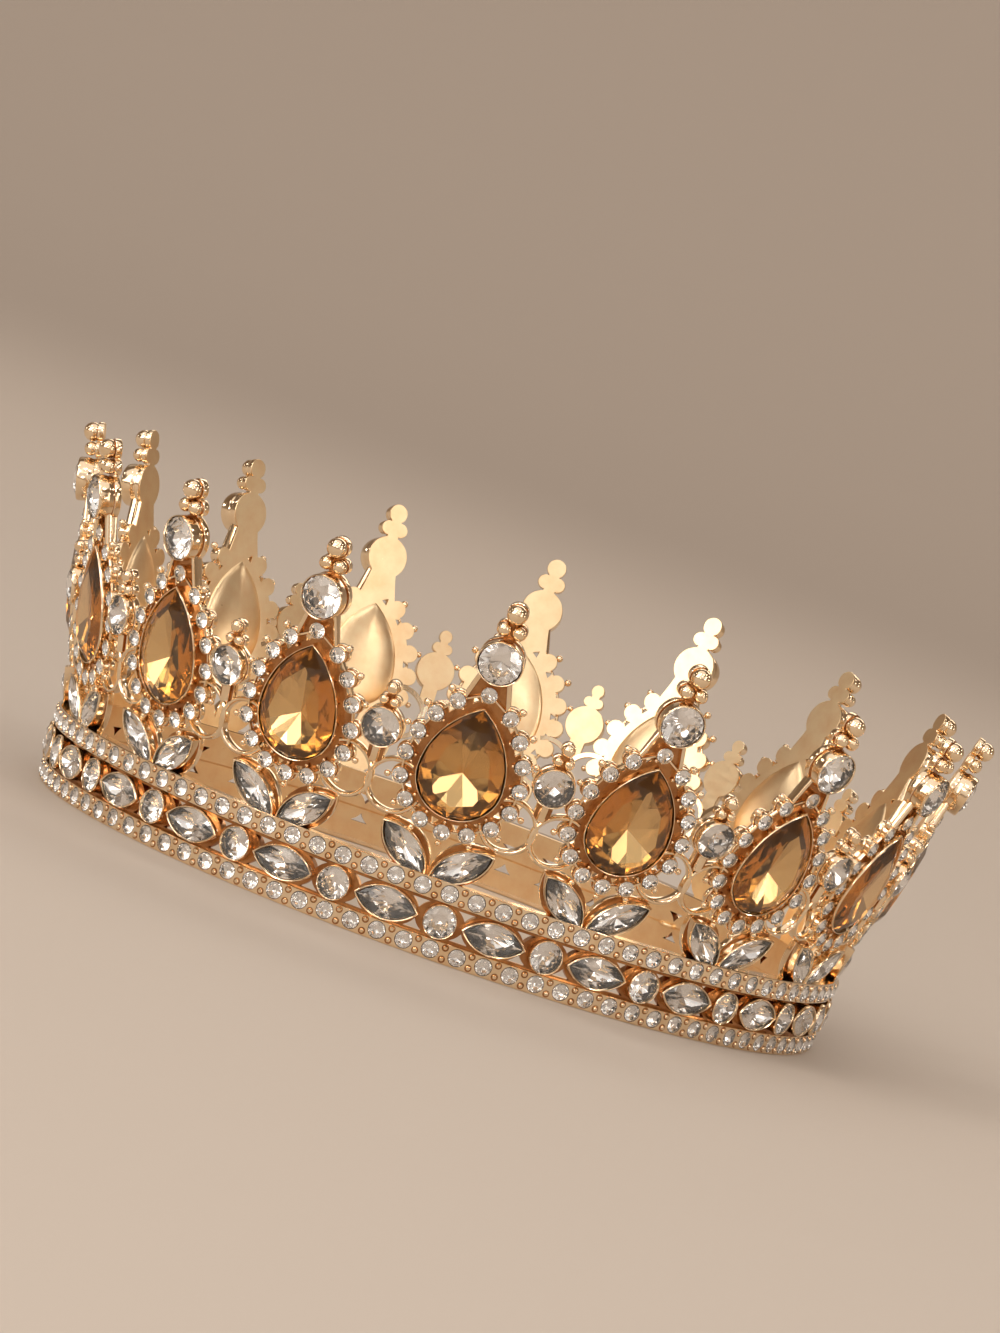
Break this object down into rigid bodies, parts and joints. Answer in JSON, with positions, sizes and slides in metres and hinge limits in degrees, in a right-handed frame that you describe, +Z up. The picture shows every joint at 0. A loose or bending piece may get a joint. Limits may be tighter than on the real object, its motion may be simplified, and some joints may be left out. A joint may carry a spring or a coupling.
{
  "type": "crown",
  "caption": "Full-round crown: a jewelled band with pierced, outward-leaning peaks, each holding a teardrop stone in a halo of small stones under a round stone.",
  "frame": {"origin": "centre of the ring, on the plane that the rim rests on", "axes": "+Z up along the ring's axis; -Y is the front, where the first peak stands; +X to the right seen from the front"},
  "size_m": [0.1778, 0.1778, 0.0648],
  "materials": {
    "gold_plate": "polished",
    "amber_glass": "faceted, foil-backed",
    "clear_crystal": "faceted, foil-backed"
  },
  "bodies": {
    "root": {"frame": "gold_plate", "teardrop_stone_1": "amber_glass", "teardrop_stone_2": "amber_glass", "teardrop_stone_3": "amber_glass", "teardrop_stone_4": "amber_glass", "teardrop_stone_5": "amber_glass", "teardrop_stone_6": "amber_glass", "teardrop_stone_7": "amber_glass", "teardrop_stone_8": "amber_glass", "teardrop_stone_9": "amber_glass", "teardrop_stone_10": "amber_glass", "teardrop_stone_11": "amber_glass", "teardrop_stone_12": "amber_glass", "teardrop_stone_13": "amber_glass", "teardrop_stone_14": "amber_glass", "teardrop_stone_15": "amber_glass", "teardrop_stone_16": "amber_glass", "top_stone_1": "clear_crystal", "top_stone_2": "clear_crystal", "top_stone_3": "clear_crystal", "top_stone_4": "clear_crystal", "top_stone_5": "clear_crystal", "top_stone_6": "clear_crystal", "top_stone_7": "clear_crystal", "top_stone_8": "clear_crystal", "top_stone_9": "clear_crystal", "top_stone_10": "clear_crystal", "top_stone_11": "clear_crystal", "top_stone_12": "clear_crystal", "top_stone_13": "clear_crystal", "top_stone_14": "clear_crystal", "top_stone_15": "clear_crystal", "top_stone_16": "clear_crystal", "between_stones": "clear_crystal", "leaf_stones": "clear_crystal", "band_stones": "clear_crystal"}
  },
  "joints": []
}
